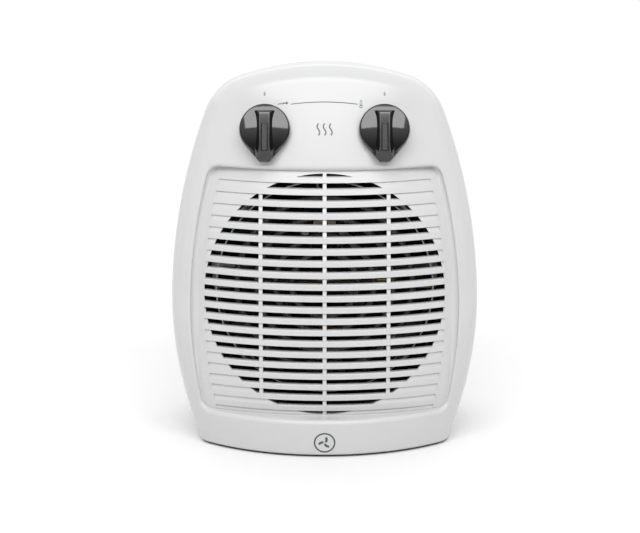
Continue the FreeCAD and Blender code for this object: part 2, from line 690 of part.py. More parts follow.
def wire_run(points, leave, arrive):
    """Insulated wire through the points, starting and ending square to its terminals."""
    curve = Part.BSplineCurve()
    ends = {"InitialTangent": V(*leave), "FinalTangent": V(*arrive)}
    curve.interpolate(Points=[V(*p) for p in points], Scale=False, **ends)
    path = Part.Wire([curve.toShape()])
    ring = Part.Wire([Part.makeCircle(WIRE_R, V(*points[0]), V(*leave))])
    return path.makePipeShell([ring], True, False)


def wire_routes():
    """Each wire: its points, its direction at the first end and at the last."""
    live, neutral, load = [(x, BLOCK_Y + 4, 12) for x in BLOCK_X]
    front = (0, -1, 0)
    off = (0, cos(radians(KNOB_LEAN)), -sin(radians(KNOB_LEAN)))
    onto = (0, -off[1], -off[2])
    coil_back = (-5, COIL_Y + COIL_R + 0.02, OUTLET_Z + sqrt(COILS_HIGH[1] ** 2 - 25))
    return {
        "wire_live": ([live, (-68, 26, 14), (-82, 22, 44), (-98, 27, 105), (-90, 26, 176),
                       (-64, 17, 203), local(-9, -8, -37, -KNOB_X)], front, onto),
        "wire_neutral": ([neutral, (-60, 22, 18), (-76, 30, 48), (-98, 38, 105), (-89, 36, 180),
                          (-58, 31, 212), (-30, 29, 217), (0, 25, 222), (30, 18, 226),
                          local(0, 11, -36, KNOB_X)], front, onto),
        "wire_link": ([local(9, -8, -37, -KNOB_X), (-20, 14, 214), (14, 14, 214),
                       local(0, -11, -36, KNOB_X)], off, onto),
        "wire_heat_high": ([local(0, -8, -37, -KNOB_X), (-28, 7, 206), (-12, 0, 209), (-5, -6.5, 205),
                            (-5, -6.5, 197), (-5, -8, 188), (-5, -11.5, 181.5), coil_back], off, front),
        "wire_motor": ([load, (-48, 26, 18), (-42, 30, 40), (-28, 36, 64), (-17, 39, 70)], front, (1, 0, 0)),
    }


def local(x, y, z, at):
    """Point in body axes of a spot given in the panel's own axes."""
    turn = FreeCAD.Rotation(X, 90.0 - KNOB_LEAN)
    p = turn.multVec(V(x, y, z)) + V(at, front_y(KNOB_X, KNOB_Z), KNOB_Z)
    return (p.x, p.y, p.z)


def main():
    os.makedirs("parts", exist_ok=True)
    front_outer, rear_outer = body_halves()
    tool = recess_tool(0.0, 0.0)
    blank = recess_tool(2.2, WALL)
    save("front_cover", front_cover(front_outer, front_solid(WALL), tool, blank))
    save("outlet_grille", outlet_grille(blank))
    save("rear_housing", rear_housing(rear_outer, rear_solid(WALL)))
    save("inlet_filter", inlet_filter())
    save("cord_grommet", cord_grommet())
    for side, end in ((-1, "front"), (1, "rear")):
        for (x, y), hand in zip(foot_places(side), ("left", "right")):
            save("foot_%s_%s" % (end, hand), foot(x, y))

    for x, name in ((-KNOB_X, "function"), (KNOB_X, "thermostat")):
        save(name + "_knob", tilted(knob(), x))
        save(name + "_knob_index", tilted(knob_index(), x))
        save(name + "_shaft", tilted(control_shaft(), x))
    save("rotary_switch", tilted(switch_body(), -KNOB_X))
    save("switch_tabs", tilted(tabs(((-9, -8), (0, -8), (9, -8), (-9, 8), (9, 8)), -29, 8), -KNOB_X))
    save("thermostat", tilted(thermostat_body(), KNOB_X))
    save("thermostat_blade", tilted(bimetal(), KNOB_X))
    save("thermostat_tabs", tilted(tabs(((0, -11), (0, 11)), -28, 8), KNOB_X))
    save("control_bracket", tilted(control_bracket(), 0))
    nut = hex_nut(13.0, 2.4, 4.5)
    nut.translate(V(0, 0, -10.8))
    save("control_nuts", Part.makeCompound([tilted(nut, s * KNOB_X) for s in (-1, 1)]))
    pan = screw(2.8, 2.0, 1.3, 7.5)
    pan.rotate(V(0, 0, 0), X, 180)
    pan.translate(V(0, 0, -12.0))
    pans = []
    for x, y in panel_posts():
        one = pan.copy()
        one.translate(V(x, y, 0))
        pans.append(tilted(one, 0))
    save("control_screws", Part.makeCompound(pans))

    save("air_duct", air_duct())
    save("heater_frame", heater_frame())
    save("mica_board_flat", mica_board(False))
    save("mica_board_upright", mica_board(True))
    save("heating_coil_low", coil(COILS_LOW))
    save("heating_coil_high", coil(COILS_HIGH))
    save("thermal_cutout", cyl_y(0, mz(43), 8.0, -11, -6))
    save("thermal_fuse", Part.makeCylinder(2.0, 14, V(38, -9, OUTLET_Z), X))
    save("fan_impeller", fan())
    save("fan_clip", ring_y(0, OUTLET_Z, 5.5, 2.5, -1.5, 0))

    save("motor_bridge", motor_bridge())
    save("motor_stator", motor_stator())
    save("motor_bobbin", motor_bobbin())
    save("motor_coil", motor_coil())
    save("motor_bracket_front", motor_bracket(21.5, (24.5, 30), (18, 24.5)))
    save("motor_bracket_rear", motor_bracket(51.0, (48, 51), (51, 58)))
    save("bearing_front", bearing(18, 24.5))
    save("bearing_rear", bearing(51, 58))
    save("motor_rotor", motor_rotor())
    save("motor_shaft", cyl_y(0, OUTLET_Z, 2.5, -4, 60))

    long = along_y(screw(3.0, 2.4, 1.6, 38.0), 0, 54, OUTLET_Z)
    nuts = along_y(hex_nut(5.5, 2.4, 1.65), 0, 17.6, OUTLET_Z)
    for name, one in (("motor_screws", long), ("motor_nuts", nuts)):
        pair = []
        for s in (-1, 1):
            item = one.copy()
            item.translate(V(s * 25, 0, 0))
            pair.append(item)
        save(name, Part.makeCompound(pair))
    fix = screw(2.8, 2.0, 1.3, 7.0)
    save("bridge_screws", Part.makeCompound([along_y(fix, s * 89, 21.5, OUTLET_Z) for s in (-1, 1)]))
    save("duct_screws", Part.makeCompound([along_y(screw(2.8, 2.0, 1.4, 6.4), x, EAR_Y + 2.4, z)
                                           for x, z in duct_posts()]))
    save("housing_screws", Part.makeCompound([along_y(screw(3.4, 2.6, 1.6, 25.0), x, SCREW_HEAD_Y, z)
                                              for x, z in housing_posts()]))

    block = box(-72, -44, BLOCK_Y, BLOCK_Y + 12, SHELL_Z + WALL, SHELL_Z + WALL + 12)
    wells = [cyl_y(x, 12, 2.6, BLOCK_Y - 4, BLOCK_Y + 4) for x in BLOCK_X]
    save("terminal_block", block.cut(wells))
    for name, route in wire_routes().items():
        save(name, wire_run(*route))


main()
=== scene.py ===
import json
from math import acos, atan, cos, hypot, pi, radians, sin, sqrt
import bpy
import bmesh
from mathutils import Matrix, Vector
from mathutils.geometry import delaunay_2d_cdt


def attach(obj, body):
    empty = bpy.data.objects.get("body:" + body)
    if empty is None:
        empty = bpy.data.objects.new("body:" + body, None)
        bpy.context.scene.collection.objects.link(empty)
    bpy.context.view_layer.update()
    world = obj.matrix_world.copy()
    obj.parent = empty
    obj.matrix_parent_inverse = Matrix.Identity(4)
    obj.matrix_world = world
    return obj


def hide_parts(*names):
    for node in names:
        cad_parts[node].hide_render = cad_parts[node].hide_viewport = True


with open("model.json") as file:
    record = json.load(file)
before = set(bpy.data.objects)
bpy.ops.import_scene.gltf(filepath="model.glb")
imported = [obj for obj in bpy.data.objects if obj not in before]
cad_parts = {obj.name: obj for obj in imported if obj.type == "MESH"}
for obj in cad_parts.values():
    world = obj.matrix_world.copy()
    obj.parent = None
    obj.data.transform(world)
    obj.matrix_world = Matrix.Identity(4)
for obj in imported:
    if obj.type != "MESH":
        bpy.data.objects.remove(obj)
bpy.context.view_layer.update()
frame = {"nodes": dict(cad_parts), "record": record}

MM = 0.001

# ---------------------------------------------------------------- shape of the case, in millimetres

HEIGHT = 275.0
HALF_WIDTH = 110.4
FRONT_Y = -77.5
SPLIT_Y = 8.0
SHELL_Z = 1.5
FRONT_ROUND = 18.0
WIDEST_Z = 108.0
LOWER_R, UPPER_R, ROOF_R, SHOULDER_R = 300.0, 375.0, 190.0, 43.0
BELLY_Z, PANEL_Z = 86.0, 204.0
PANEL_SETBACK, PANEL_SLOPE = 31.5, 0.38
PLAN_R, BUMPER_PLAN_R = 206.0, 134.0
GRILLE_Y, BARREL_R, BARREL_ARC_R = -68.5, 198.0, 270.0
RECESS_TOP, RECESS_SILL = 204.0, 28.0
RECESS_HALF, RECESS_MID_Z, RECESS_SIDE_R, RECESS_CORNER = 96.0, 105.0, 370.0, 9.5
SLAT_PITCH, SLOT_H, TOP_SLOT_Z, SLOT_COUNT = 8.16, 4.0, 201.3, 22
GRILLE_T, GROOVE_D, COVE = 4.4, 1.2, 8.0
OUTLET_Z, OUTLET_R = 115.4, 86.2
BAR_W, BAR_X = 2.7, 45.5
KNOB_X, KNOB_Z, KNOB_LEAN = 42.5, 230.5, 21.0
KNOB_R, KNOB_TAIL, KNOB_TAIL_W, KNOB_GAP = 18.3, 23.7, 7.7, 4.3
LIP_R, LIP_R_SILL, LIP_R_TOP = 1.3, 1.9, 1.3
SKIN_WALL, SPLIT_ROUND, SPLIT_RETURN = 2.4, 0.5, 6
OUTLINE_LOW_Z = -14.0
FLANGE, FLANGE_DEPTH, SEAT_OFFSET = 0.4, 0.4, 0.05
COVER_STEP, GRILLE_STEP = 5.0, 6.0
LOWER_BODY_R = 700.0


def front_line(z):
    if z < BELLY_Z:
        return FRONT_Y + LOWER_BODY_R - sqrt(LOWER_BODY_R ** 2 - (z - BELLY_Z) ** 2)
    span = PANEL_Z - BELLY_Z
    if z > PANEL_Z:
        rise = z - PANEL_Z
        return FRONT_Y + PANEL_SETBACK + PANEL_SLOPE * rise + rise * rise / 4000.0
    t = (z - BELLY_Z) / span
    a = PANEL_SLOPE * span - 2.0 * PANEL_SETBACK
    b = 3.0 * PANEL_SETBACK - PANEL_SLOPE * span
    return FRONT_Y + a * t ** 3 + b * t * t


def front_y(x, z):
    t = min(1.0, max(0.0, z / 120.0))
    r = BUMPER_PLAN_R + (PLAN_R - BUMPER_PLAN_R) * t * t * (3 - 2 * t)
    return front_line(z) + r - sqrt(r * r - x * x)


def barrel_y(x, z, depth=0.0):
    arc_r = BARREL_ARC_R - depth
    rim = BARREL_R - BARREL_ARC_R + sqrt(arc_r ** 2 - (z - BELLY_Z) ** 2)
    return GRILLE_Y + BARREL_R - sqrt(rim * rim - x * x)


def out_normal(surface, x, z, e=0.25):
    """Unit normal of y = surface(x, z), pointing towards -Y."""
    dx = (surface(x + e, z) - surface(x - e, z)) / (2 * e)
    dz = (surface(x, z + e) - surface(x, z - e)) / (2 * e)
    return Vector((dx, -1.0, dz)).normalized()


def slerp(a, b, t):
    ang = acos(max(-1.0, min(1.0, a.dot(b))))
    if ang < 1e-5:
        return a.copy()
    return (a * sin((1 - t) * ang) + b * sin(t * ang)) / sin(ang)


# ---------------------------------------------------------------- objects and meshes

def linked(name, data):
    """New object holding the data, in the scene."""
    obj = bpy.data.objects.new(name, data)
    bpy.context.scene.collection.objects.link(obj)
    return obj


def mesh_from(name, bm):
    mesh = bpy.data.meshes.new(name)
    bm.to_mesh(mesh)
    bm.free()
    return mesh


class Skin:
    """Collects vertices with exact normals, so that the shading is as smooth as the surface."""

    def __init__(self):
        self.v, self.n, self.f, self.seen = [], [], [], {}

    def add(self, p, n):
        key = (round(p[0], 3), round(p[1], 3), round(p[2], 3),
               round(n[0], 1), round(n[1], 1), round(n[2], 1))
        if key not in self.seen:
            self.seen[key] = len(self.v)
            self.v.append(Vector(p))
            self.n.append(Vector(n))
        return self.seen[key]

    def face(self, ids):
        ids = [a for i, a in enumerate(ids) if a != ids[i - 1]]
        if len(ids) > 2:
            self.f.append(ids)

    def strip(self, rows, closed=False):
        """rows of (point, normal) pairs; quads between neighbouring rows."""
        ids = [[self.add(p, n) for p, n in row] for row in rows]
        for a, b in zip(ids, ids[1:]):
            count = len(a) if closed else len(a) - 1
            for i in range(count):
                j = (i + 1) % len(a)
                self.face([a[i], a[j], b[j], b[i]])

    def fill(self, outer, holes, lift, step):
        """Triangles over a flat region, each vertex lifted to (point, normal) by lift(x, z)."""
        pts, edges = [], []
        for loop in [outer] + holes:
            base = len(pts)
            pts += [Vector((p[0], p[1])) for p in loop]
            edges += [(base + i, base + (i + 1) % len(loop)) for i in range(len(loop))]
        near = {}
        for p in pts:
            near.setdefault((int(p.x // step), int(p.y // step)), []).append(p)
        lo = [min(p[k] for p in outer) for k in (0, 1)]
        hi = [max(p[k] for p in outer) for k in (0, 1)]
        z, odd = lo[1] + step / 2, 0
        while z < hi[1]:
            x = lo[0] + step / 2 * (1 + odd % 2)
            while x < hi[0]:
                cx, cz = int(x // step), int(z // step)
                close = any((q.x - x) ** 2 + (q.y - z) ** 2 < (0.6 * step) ** 2
                            for i in (-1, 0, 1) for j in (-1, 0, 1)
                            for q in near.get((cx + i, cz + j), []))
                if not close and inside(x, z, outer) and not any(inside(x, z, h) for h in holes):
                    pts.append(Vector((x, z)))
                x += step
            z += step * 0.87
            odd += 1
        out, _, tris = delaunay_2d_cdt(pts, edges, [], 0, 1e-6)[:3]
        ids = {}
        for t in tris:
            cx, cz = sum(out[i].x for i in t) / 3, sum(out[i].y for i in t) / 3
            if not inside(cx, cz, outer) or any(inside(cx, cz, h) for h in holes):
                continue
            for i in t:
                if i not in ids:
                    ids[i] = self.add(*lift(out[i].x, out[i].y))
            self.face([ids[i] for i in t])

    def build(self, name, material, body, replaces=()):
        mesh = bpy.data.meshes.new(name)
        faces = []
        for f in self.f:
            a, b, c = (self.v[f[0]], self.v[f[1]], self.v[f[2]])
            cross = (b - a).cross(c - a)
            mean = sum((self.n[i] for i in f), Vector())
            faces.append(f if cross.dot(mean) >= 0 else f[::-1])
        mesh.from_pydata([v * MM for v in self.v], [], faces)
        mesh.polygons.foreach_set("use_smooth", [True] * len(mesh.polygons))
        mesh.validate()
        if len(mesh.vertices) == len(self.n):
            mesh.normals_split_custom_set_from_vertices([n.normalized() for n in self.n])
        obj = linked(name, mesh)
        mesh.materials.append(material)
        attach(obj, body)
        if replaces:
            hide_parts(*replaces)
        return obj


def inside(x, z, loop):
    hit = False
    for i in range(len(loop)):
        ax, az = loop[i][0], loop[i][1]
        bx, bz = loop[i - 1][0], loop[i - 1][1]
        if (az > z) != (bz > z) and x < (bx - ax) * (z - az) / (bz - az) + ax:
            hit = not hit
    return hit


# ---------------------------------------------------------------- outlines

def circle_meet(c1, r1, c2, r2):
    d = hypot(c2[0] - c1[0], c2[1] - c1[1])
    a = (r1 * r1 - r2 * r2 + d * d) / (2 * d)
    h = sqrt(r1 * r1 - a * a)
    ux, uz = (c2[0] - c1[0]) / d, (c2[1] - c1[1]) / d
    p = (c1[0] + a * ux - h * uz, c1[1] + a * uz + h * ux)
    q = (c1[0] + a * ux + h * uz, c1[1] + a * uz - h * ux)
    return p if p[0] > 0 else q


def arc_points(arcs):
    """arcs: (centre x, centre z, radius, start, end, spacing).

    Gives (x, z, nx, nz) along them, without the last end.
    """
    out = []
    for cx, cz, r, a, b, step in arcs:
        count = max(2, int(abs(b - a) * r / step) + 1)
        for i in range(count):
            t = a + (b - a) * i / count
            out.append((cx + r * cos(t), cz + r * sin(t), cos(t), sin(t)))
    return out


def mirrored(half):
    return half + [(-x, z, -nx, nz) for x, z, nx, nz in half[::-1] if abs(x) > 1e-6]


def case_outline(low_z):
    c_low, c_up = (HALF_WIDTH - LOWER_R, WIDEST_Z), (HALF_WIDTH - UPPER_R, WIDEST_Z)
    c_roof = (0.0, HEIGHT - ROOF_R)
    c_sh = circle_meet(c_up, UPPER_R - SHOULDER_R, c_roof, ROOF_R - SHOULDER_R)
    a1 = atan((c_sh[1] - c_up[1]) / (c_sh[0] - c_up[0]))
    a2 = atan((c_sh[1] - c_roof[1]) / (c_sh[0] - c_roof[0]))
    foot = -atan((WIDEST_Z - low_z) / sqrt(LOWER_R ** 2 - (WIDEST_Z - low_z) ** 2))
    half = arc_points([
        (*c_low, LOWER_R, foot, 0.0, 3.0), (*c_up, UPPER_R, 0.0, a1, 3.0),
        (*c_sh, SHOULDER_R, a1, a2, 1.0), (*c_roof, ROOF_R, a2, pi / 2, 3.0)])
    return mirrored(half + [(0.0, HEIGHT, 0.0, 1.0)])


def window_outline():
    """Recess edge as (x, z, nx, nz), the normal pointing away from the middle of the window."""
    c = (RECESS_HALF - RECESS_SIDE_R, RECESS_MID_Z)
    rc = RECESS_CORNER

    def corner(z):
        return (c[0] + sqrt((RECESS_SIDE_R - rc) ** 2 - (z - c[1]) ** 2), z)

    low, top = corner(RECESS_SILL + rc), corner(RECESS_TOP - rc)
    a = atan((low[1] - c[1]) / (low[0] - c[0]))
    b = atan((top[1] - c[1]) / (top[0] - c[0]))
    half = [(low[0] * i / 24, RECESS_SILL, 0.0, -1.0) for i in range(24)]
    half += arc_points([(*low, rc, -pi / 2, a, 1.0), (*c, RECESS_SIDE_R, a, b, 2.5),
                        (*top, rc, b, pi / 2, 1.0)])
    half += [(top[0] * (1 - i / 24), RECESS_TOP, 0.0, 1.0) for i in range(25)]
    left = [(-x, z, -nx, nz) for x, z, nx, nz in half[-2:0:-1]]
    return half + left


def rim(surface, x, z, mx, mz, r):
    """Rolling edge between a surface and a wall along Y whose open side is (mx, mz)."""
    n = Vector((0, -1, 0))
    for _ in range(6):
        tx, tz = x - mx * r + n.x * r, z - mz * r + n.z * r
        n = out_normal(surface, tx, tz)
    touch = Vector((tx, surface(tx, tz), tz))
    return touch, n, touch - n * r, Vector((mx, 0, mz))


def cove(x, z, mx, mz, r, limit):
    """Hollow corner between a wall and the grille surface, shrunk until it fits behind limit."""
    low, high = 0.2, r
    for step in range(12):
        c = high if step == 0 else (low + high) / 2
        f = Vector((0, -1, 0))
        for _ in range(5):
            px, pz = x + mx * c - f.x * c, z + mz * c - f.z * c
            f = out_normal(barrel_y, px, pz)
        foot = Vector((px, barrel_y(px, pz), pz))
        if foot.y + f.y * c >= limit:
            if step == 0:
                break
            low = c
        else:
            high = c
    return foot, f, c


# ---------------------------------------------------------------- front cover and grille insert

BASE_ROUND = 2.0


def recess_rows(window):
    rows = [[] for _ in range(17)]
    loop, seat = [], []
    for x, z, wx, wz in window:
        mx, mz = -wx, -wz
        r = LIP_R + (LIP_R_SILL if wz < 0 else LIP_R_TOP) * wz * wz
        touch, n, centre, wall = rim(front_y, x, z, mx, mz, r)
        loop.append((touch.x, touch.z))
        for k in range(7):
            d = slerp(n, wall, k / 6)
            rows[k].append((centre + d * r, d))
        want = 0.5 + 7.5 * abs(wx) ** 3
        foot, f, c = cove(x, z, mx, mz, want, centre.y)
        for k in range(7):
            d = slerp(wall, f, k / 6)
            rows[7 + k].append((foot + f * c - d * c, d))
        gone = (foot.x - x) * mx + (foot.z - z) * mz
        t = max(0.1, 0.5 + 7.7 * abs(wx) ** 1.5 - gone)
        px, pz = foot.x + mx * t, foot.z + mz * t
        rows[14].append((Vector((px, barrel_y(px, pz), pz)), out_normal(barrel_y, px, pz)))
        seat.append((px + mx * SEAT_OFFSET, pz + mz * SEAT_OFFSET))
        rows[15].append((Vector((px, barrel_y(px, pz) + FLANGE_DEPTH, pz)), wall))
        qx, qz = px + mx * FLANGE, pz + mz * FLANGE
        rows[16].append((Vector((qx, barrel_y(qx, qz) + FLANGE_DEPTH, qz)),
                         out_normal(barrel_y, qx, qz)))
    return rows, loop, seat


def front_cover(material):
    skin = Skin()
    outline = case_outline(OUTLINE_LOW_Z)
    band = [[] for _ in range(20)]
    loop = []
    for x, z, nx, nz in outline:
        touch, n, centre, wall = rim(front_y, x, z, nx, nz, FRONT_ROUND)
        loop.append((touch.x, touch.z))
        for k in range(13):
            d = slerp(n, wall, k / 12)
            band[k].append((centre + d * FRONT_ROUND, d))
        for k in range(5):
            a = pi / 2 * k / 4
            inset = SPLIT_ROUND * (1 - cos(a))
            p = Vector((x - nx * inset, SPLIT_Y - SPLIT_ROUND + SPLIT_ROUND * sin(a),
                        z - nz * inset))
            band[13 + k].append((p, wall * cos(a) + Vector((0, sin(a), 0))))
        ix, iz = x - nx * SKIN_WALL, z - nz * SKIN_WALL
        band[18].append((Vector((ix, SPLIT_Y, iz)), Vector((0, 1, 0))))
        band[19].append((Vector((ix, SPLIT_Y - SPLIT_RETURN, iz)), -wall))
    skin.strip(band)
    window = window_outline()
    rows, hole, seat = recess_rows(window)
    skin.strip(rows, closed=True)
    skin.fill(loop, [hole],
              lambda x, z: (Vector((x, front_y(x, z), z)), out_normal(front_y, x, z)), COVER_STEP)
    obj = skin.build("cover_skin", material, "cabinet", ["front_cover"])
    trim_base(obj)
    return obj, seat


def trim_base(obj):
    """Cuts a skin level above the floor and turns its bottom edge inwards with a small round."""
    mesh = obj.data
    normals = [Vector(c.vector) for c in mesh.corner_normals]
    bm = bmesh.new()
    bm.from_mesh(mesh)
    keep = bm.verts.layers.float_vector.new("exact")
    bm.verts.ensure_lookup_table()
    for loop in mesh.loops:
        bm.verts[loop.vertex_index][keep] = normals[loop.index]
    level = (SHELL_Z + BASE_ROUND) * MM
    geom = bm.verts[:] + bm.edges[:] + bm.faces[:]
    bmesh.ops.bisect_plane(bm, geom=geom, plane_co=(0, 0, level), plane_no=(0, 0, 1),
                           clear_inner=True, dist=1e-7)
    edges = [e for e in bm.edges
             if e.is_boundary and all(abs(v.co.z - level) < 1e-6 for v in e.verts)]
    for k in range(1, 6):
        out = bmesh.ops.extrude_edge_only(bm, edges=edges)["geom"]
        verts = [g for g in out if isinstance(g, bmesh.types.BMVert)]
        edges = [g for g in out if isinstance(g, bmesh.types.BMEdge) and g.is_boundary]
        edges = [e for e in edges if all(v in verts for v in e.verts)]
        a, b = pi / 2 * (k - 1) / 5, pi / 2 * k / 5
        for v in verts:
            flat = Vector(v[keep])
            if k == 1:
                flat = Vector((flat.x, flat.y, 0)).normalized()
                v[keep] = flat
            v.co -= flat * ((cos(a) - cos(b)) * BASE_ROUND * MM)
            v.co.z = (SHELL_Z + BASE_ROUND * (1 - sin(b))) * MM
    exact = []
    for v in bm.verts:
        n = Vector(v[keep])
        drop = (SHELL_Z + BASE_ROUND) - v.co.z / MM
        if drop > 1e-4:
            s = min(1.0, drop / BASE_ROUND)
            n = n * sqrt(max(0.0, 1 - s * s)) + Vector((0, 0, -s))
        exact.append(n.normalized())
    bm.to_mesh(mesh)
    bm.free()
    mesh.polygons.foreach_set("use_smooth", [True] * len(mesh.polygons))
    mesh.normals_split_custom_set_from_vertices(exact)


SLAT_SOFT = 0.9


class Row:
    """One louvre row: a ramp across the grille with up to four openings in it."""

    def __init__(self, index):
        z = TOP_SLOT_Z - SLAT_PITCH * index
        self.low = max(z - SLOT_H / 2, RECESS_SILL + 1.3)
        self.high = z + SLOT_H / 2 if index else OUTLET_Z + OUTLET_R - 0.03
        self.deep = GROOVE_D if index else 0.0
        self.soft = SLAT_SOFT if index < SLOT_COUNT - 1 else 0.15
        c = (RECESS_HALF - COVE - 1.6 - RECESS_SIDE_R, RECESS_MID_Z)
        self.half = c[0] + sqrt(RECESS_SIDE_R ** 2 - (z - c[1]) ** 2)

    def levels(self):
        under = [self.low - self.soft * cos(pi / 2 * k / 4) for k in range(4)]
        return under + [self.low + (self.high - self.low) * k / 10 for k in range(11)]

    def depth(self, z):
        return self.deep * max(0.0, z - self.low) / (self.high - self.low)

    def openings(self, z):
        """Left and right end of each of the four openings at height z."""
        z = max(z, self.low)
        reach = sqrt(max(0.0, OUTLET_R ** 2 - (z - OUTLET_Z) ** 2))
        w = BAR_W / 2
        out = []
        for a, b in ((-self.half, -BAR_X - w), (-BAR_X + w, -w),
                     (w, BAR_X - w), (BAR_X + w, self.half)):
            a, b = max(a, min(b, -reach)), min(b, max(a, reach))
            out.append((a, max(a, b)))
        return out

    def marks(self, z):
        """The row's two ends and the ends of its openings, left to right."""
        return [-self.half] + [x for pair in self.openings(z) for x in pair] + [self.half]

    def solids(self, z):
        """Stretches of ramp between the openings."""
        marks = self.marks(z)
        return list(zip(marks[::2], marks[1::2]))

    def spots(self, z):
        """Every x where the row's own points lie at height z."""
        marks = self.marks(z)
        out = []
        for k, (a, b) in enumerate(zip(marks, marks[1:])):
            out += samples(a, b, 8 if k % 2 == 0 else 12)[:-1]
        return out + [marks[-1]]

    def outline(self):
        low, high = self.low - self.soft, self.high
        loop = [(x, low) for x in self.spots(low)] + [(self.half, z) for z in self.levels()[1:-1]]
        loop += [(x, high) for x in self.spots(high)[::-1]]
        loop += [(-self.half, z) for z in self.levels()[-2:0:-1]]
        return [p for i, p in enumerate(loop)
                if hypot(p[0] - loop[i - 1][0], p[1] - loop[i - 1][1]) > 1e-5]


def samples(a, b, count):
    return [a + (b - a) * k / count for k in range(count + 1)]


def on_barrel(x, z, depth=0.0):
    return Vector((x, barrel_y(x, z) + depth, z))


def ramp_normal(row, x, z):
    """Normal of the ramp; it turns up gradually just above the slat below."""
    n = out_normal(barrel_y, x, z)
    tip = atan(row.deep / (row.high - row.low)) * min(1.0, max(0.0, (z - row.low + 0.3) / 1.2))
    return slerp(n, Vector((0, 0, 1)), tip / (pi / 2))


def ramp(skin, row):
    for k in range(5):
        skin.strip([[(on_barrel(x, z, row.depth(z)), ramp_normal(row, x, z))
                     for x in samples(*row.solids(z)[k], 8)] for z in row.levels()])
    for side in (-1, 1):
        skin.strip([[(on_barrel(side * row.half, z, d * row.depth(z)), Vector((-side, 0, 0)))
                     for z in row.levels()] for d in (0, 1)])
    if row.deep:
        skin.strip([[(on_barrel(x, row.high, d * row.deep), Vector((0, 0, -1)))
                     for x in row.spots(row.high)] for d in (0, 1)])


def opening(skin, row, k):
    """Rolled lower edge and the walls of one opening."""
    zs = [z for z in row.levels() if z >= row.low]
    if max(b - a for a, b in (row.openings(z)[k] for z in zs)) < 0.5:
        return
    lows = samples(*row.openings(row.low)[k], 12)
    rolled, up = [], Vector((0, 0, 1))
    for i in range(7):
        t = pi / 2 * i / 6
        z, depth = row.low - row.soft * (1 - sin(t)), row.soft * (1 - cos(t))
        rolled.append([(on_barrel(x, z, depth), slerp(out_normal(barrel_y, x, z), up, i / 6))
                       for x in lows])
    rolled.append([(on_barrel(x, row.low, GRILLE_T), up) for x in lows])
    skin.strip(rolled)
    tops = samples(*row.openings(row.high)[k], 12)
    skin.strip([[(on_barrel(x, row.high, d), -up) for x in tops] for d in (row.deep, GRILLE_T)])
    for end, turn in ((0, 1), (1, -1)):
        curve = [(row.openings(z)[k][end], z) for z in zs]
        walls = with_normals(curve, turn)
        skin.strip([[(on_barrel(x, z, row.depth(z)), Vector((nx, 0, nz)))
                     for x, z, nx, nz in walls],
                    [(on_barrel(x, z, GRILLE_T), Vector((nx, 0, nz))) for x, z, nx, nz in walls]])
        x = curve[0][0]
        cheek = [row.low - row.soft * (1 - sin(pi / 2 * i / 6)) for i in range(7)]
        skin.strip([[(on_barrel(x, z), Vector((turn, 0, 0))) for z in cheek],
                    [(on_barrel(x, z, row.soft * (1 - cos(pi / 2 * i / 6))), Vector((turn, 0, 0)))
                     for i, z in enumerate(cheek)]])


def with_normals(curve, side):
    out = []
    for i, (x, z) in enumerate(curve):
        ax, az = curve[max(0, i - 1)]
        bx, bz = curve[min(len(curve) - 1, i + 1)]
        d = hypot(bx - ax, bz - az) or 1.0
        out.append((x, z, side * (bz - az) / d, -side * (bx - ax) / d))
    return out


def outlet_grille(material, seat):
    skin = Skin()
    rows = [Row(i) for i in range(SLOT_COUNT)]
    for row in rows:
        ramp(skin, row)
        for k in range(4):
            opening(skin, row, k)
    skin.fill([(p[0], p[1]) for p in seat], [row.outline() for row in rows],
              lambda x, z: (on_barrel(x, z), out_normal(barrel_y, x, z)), GRILLE_STEP)
    return skin.build("grille_skin", material, "cabinet", ["outlet_grille"])


# ---------------------------------------------------------------- knobs

RIDGE_TOP, RIDGE_W, FLANK_W, HEAD_V = 15.8, 3.8, 9.4, 12.6
SKIRT_TOP, SKIRT_EDGE, DOME_R = 8.6, 1.5, 62.0


def panel_frame(x):
    """Matrix from a knob's own axes (right, up the panel, outward) to the part's, in mm."""
    lean = radians(KNOB_LEAN)
    right = Vector((1, 0, 0))
    up = Vector((0, sin(lean), cos(lean)))
    out = Vector((0, -cos(lean), sin(lean)))
    m = Matrix((right, up, out)).transposed().to_4x4()
    m.translation = Vector((x, front_y(abs(x), KNOB_Z), KNOB_Z))
    return m


def tail_tangent():
    """Angle and point where the side of the tail leaves the round head."""
    h = KNOB_TAIL_W / 2
    spread = acos(KNOB_R / hypot(h, KNOB_TAIL))
    a = -pi / 2 + atan(h / KNOB_TAIL) + spread
    return a, KNOB_R * cos(a), KNOB_R * sin(a)


def teardrop():
    """Knob outline as (u, v, nu, nv): a round head, tangent sides and a blunt pointer tail."""
    h, corner = KNOB_TAIL_W / 2, 0.9
    a, tx, tv = tail_tangent()
    half = [(0.0, -KNOB_TAIL, 0.0, -1.0), (h / 2, -KNOB_TAIL, 0.0, -1.0)]
    cx = h - corner * 1.25
    for k in range(6):
        t = -pi / 2 + (a + pi / 2) * k / 5
        half.append((cx + corner * cos(t), -KNOB_TAIL + corner + corner * sin(t), cos(t), sin(t)))
    px, pv = half[-1][:2]
    half += [(px + (tx - px) * k / 6, pv + (tv - pv) * k / 6, cos(a), sin(a)) for k in range(1, 6)]
    half += arc_points([(0.0, 0.0, KNOB_R, a, pi / 2, 0.8)]) + [(0.0, KNOB_R, 0.0, 1.0)]
    return half + [(-u, v, -nu, nv) for u, v, nu, nv in half[-2:0:-1]]


def dome(u, v):
    w = SKIRT_TOP + (KNOB_R ** 2 - u * u - v * v) / (2 * DOME_R)
    return w, Vector((u / DOME_R, v / DOME_R, 1)).normalized()


